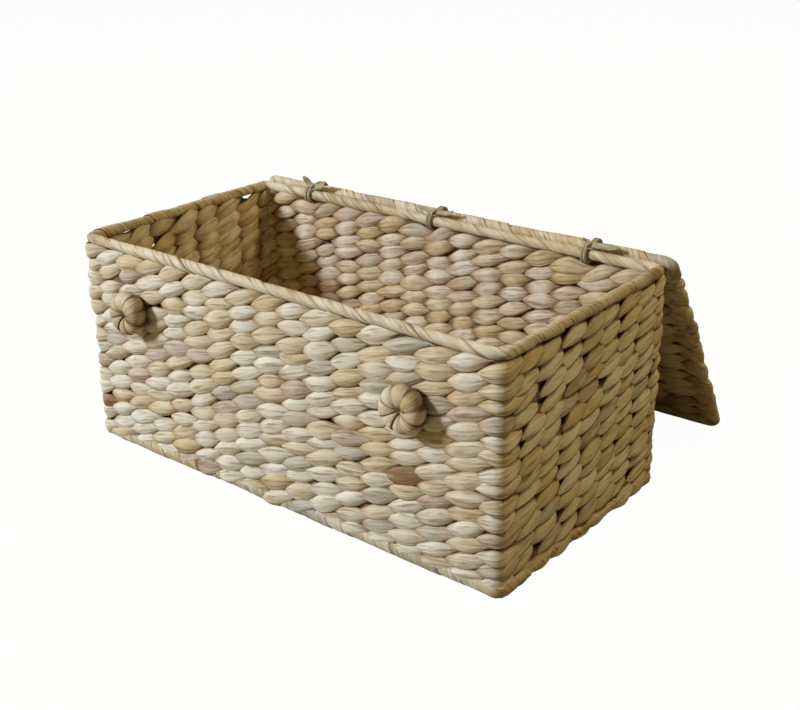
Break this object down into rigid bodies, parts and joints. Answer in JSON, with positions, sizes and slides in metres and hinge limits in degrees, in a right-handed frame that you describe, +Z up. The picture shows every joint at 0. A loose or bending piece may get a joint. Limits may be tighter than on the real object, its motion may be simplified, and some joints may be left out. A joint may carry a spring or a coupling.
{
  "type": "woven lidded box",
  "caption": "Rectangular woven plant-fibre box on a wire frame, with ring knobs on the front and a flat woven lid tied to the back rim with twine.",
  "frame": {"origin": "middle of the base on the surface that the box stands on", "axes": "+X along the box's length, -Y out of the front wall with the knobs, +Z up"},
  "size_m": [0.406, 0.3336, 0.183],
  "materials": {
    "woven_fibre": "dry matt plant fibre, straw to grey-green, flattened strands",
    "wound_strip": "dry matt plant fibre strip, tan",
    "knob_fibre": "dry plant fibre strip, tan brown, slight sheen",
    "twine": "twisted matt twine, grey-olive",
    "wire": "dark drawn wire"
  },
  "bodies": {
    "box": {"box_frame": "wire", "front_wall": "woven_fibre", "back_wall": "woven_fibre", "left_wall": "woven_fibre", "right_wall": "woven_fibre", "base_panel": "woven_fibre", "front_rim_wrap": "wound_strip", "back_rim_wrap": "wound_strip", "left_rim_wrap": "wound_strip", "right_rim_wrap": "wound_strip", "front_binding": "wound_strip", "back_binding": "wound_strip", "left_binding": "wound_strip", "right_binding": "wound_strip", "left_knob_core": "knob_fibre", "right_knob_core": "knob_fibre", "left_knob_wrap": "knob_fibre", "right_knob_wrap": "knob_fibre", "left_knob_cord": "knob_fibre", "right_knob_cord": "knob_fibre"},
    "ties": {"left_hinge_tie": "twine", "middle_hinge_tie": "twine", "right_hinge_tie": "twine"},
    "lid": {"lid_frame": "wire", "lid_panel": "woven_fibre", "lid_hinge_wrap": "wound_strip", "lid_front_wrap": "wound_strip"}
  },
  "joints": [
    {"name": "tie_swing", "type": "hinge", "parent": "box", "child": "ties", "pos_m": [0, 0.0975, 0.1685], "axis": [1, 0, 0], "range_deg": [0, 75]},
    {"name": "lid_swing", "type": "hinge", "parent": "ties", "child": "lid", "pos_m": [0, 0.10755, 0.17119], "axis": [1, 0, 0], "range_deg": [0, 163.04]}
  ],
  "couplings": [
    {"joint": "tie_swing", "follows": "lid_swing", "ratio": 0.46001}
  ]
}
